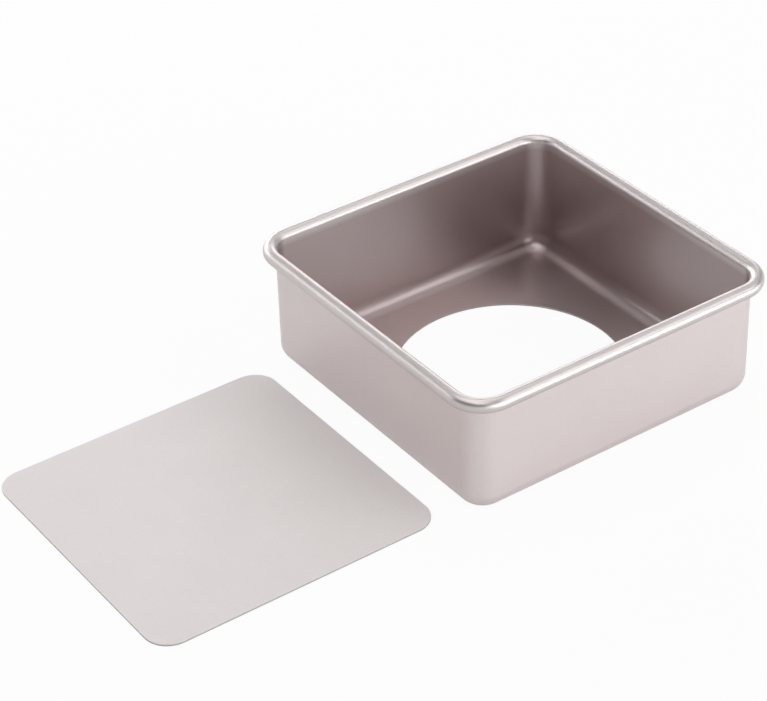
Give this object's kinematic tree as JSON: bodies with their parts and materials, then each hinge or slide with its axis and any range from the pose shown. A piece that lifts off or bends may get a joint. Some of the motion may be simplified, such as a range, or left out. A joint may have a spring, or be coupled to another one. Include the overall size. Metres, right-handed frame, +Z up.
{
  "type": "square cake pan",
  "caption": "Straight-walled square cake pan with a wired, curled rim and a round push-up hole in its base, and the loose flat base plate that covers the hole.",
  "frame": {"origin": "on the table, under the middle of the box around the pan and the plate laid out beside it", "axes": "+Z up out of the pan, +Y from the plate towards the pan, along the long side of the set, +X across it, parallel to the pan's walls"},
  "size_m": [0.1648, 0.3068, 0.06],
  "materials": {
    "champagne_nonstick": "satin champagne non-stick coating on steel sheet",
    "bare_steel_wire": "drawn steel wire, hidden inside the curled rim"
  },
  "bodies": {
    "pan": {"pan_body": "champagne_nonstick", "rim_wire": "bare_steel_wire"},
    "base_plate": {"loose_base_plate": "champagne_nonstick"}
  },
  "joints": [
    {"name": "base_plate_lift", "type": "slide", "parent": "pan", "child": "base_plate", "axis": [0, 0, 1], "range_m": [0, 0.08]}
  ]
}
